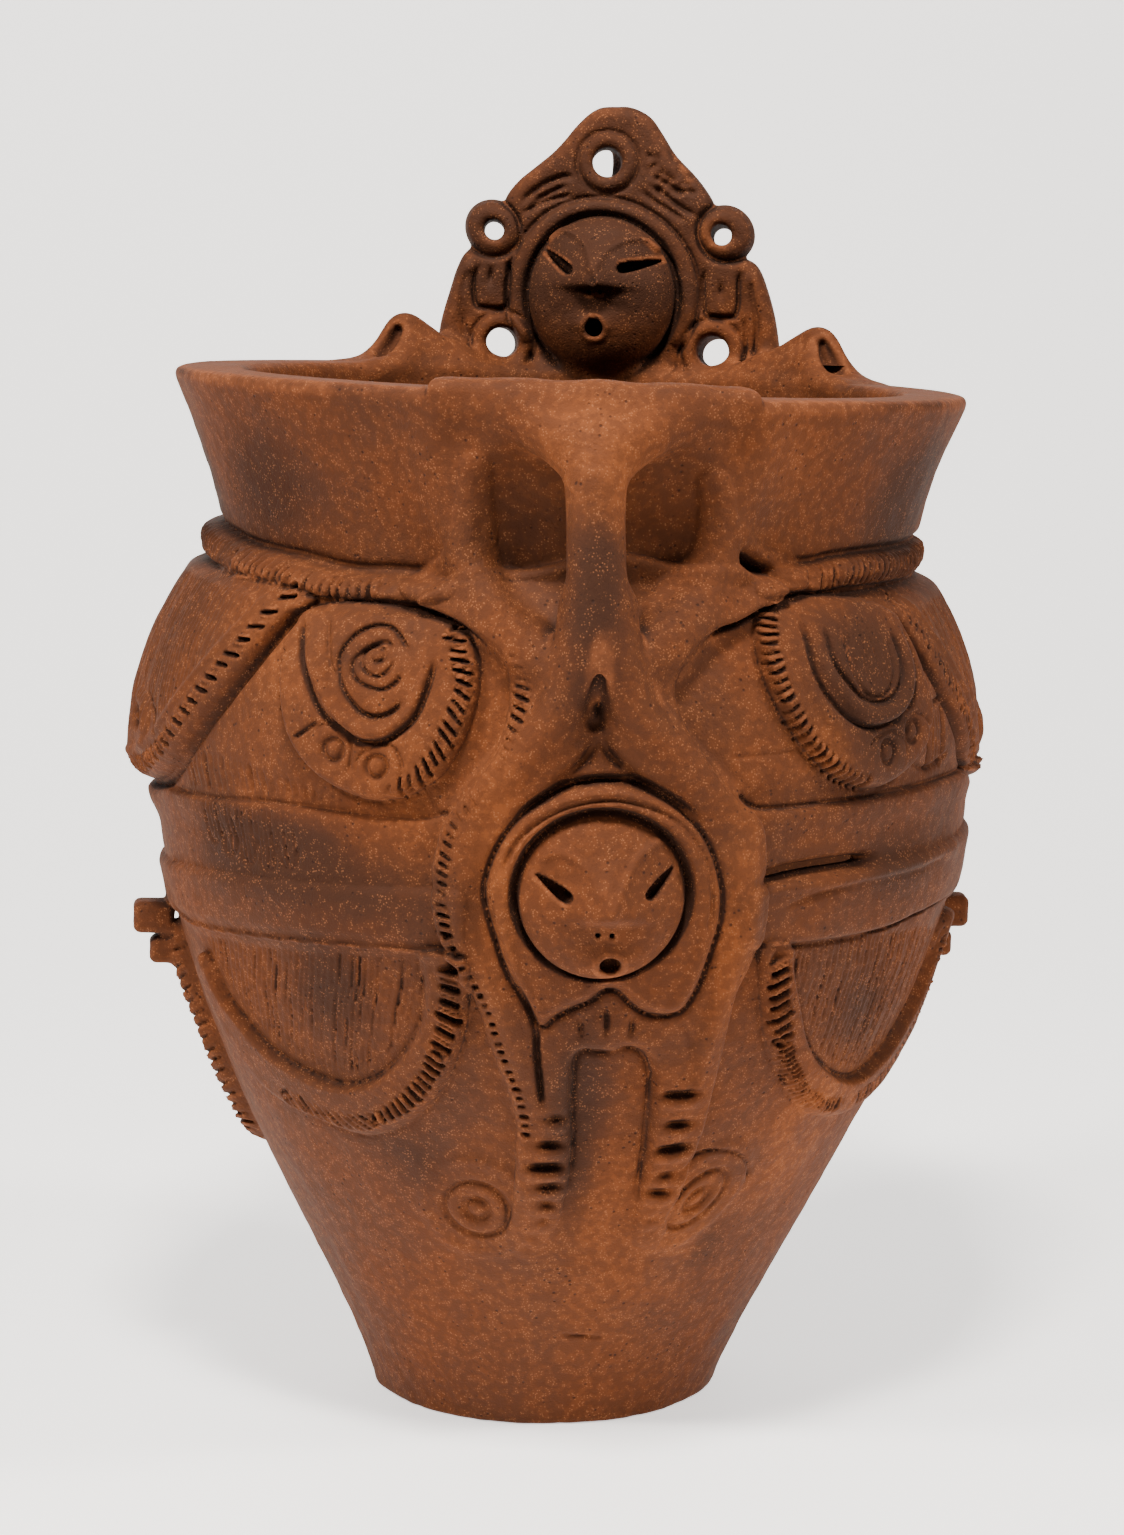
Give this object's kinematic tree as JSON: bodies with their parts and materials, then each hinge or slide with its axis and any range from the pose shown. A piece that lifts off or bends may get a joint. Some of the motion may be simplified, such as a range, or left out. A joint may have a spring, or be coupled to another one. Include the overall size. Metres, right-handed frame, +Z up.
{
  "type": "earthenware jar",
  "caption": "Tall leaning earthenware jar with a bridge handle before its neck, roped ornament, a belly mask and a pierced mask plaque standing on its rim.",
  "frame": {"origin": "centre of the flat underside of the foot", "axes": "+Z up, -Y the front with the bridge handle and the belly mask, +X the side that the jar leans to"},
  "size_m": [0.3918, 0.3887, 0.5807],
  "materials": {
    "earthenware": "unglazed fired clay, gritty and matt, orange brown with darker fire clouds"
  },
  "bodies": {
    "root": {"jar": "earthenware"}
  },
  "joints": []
}
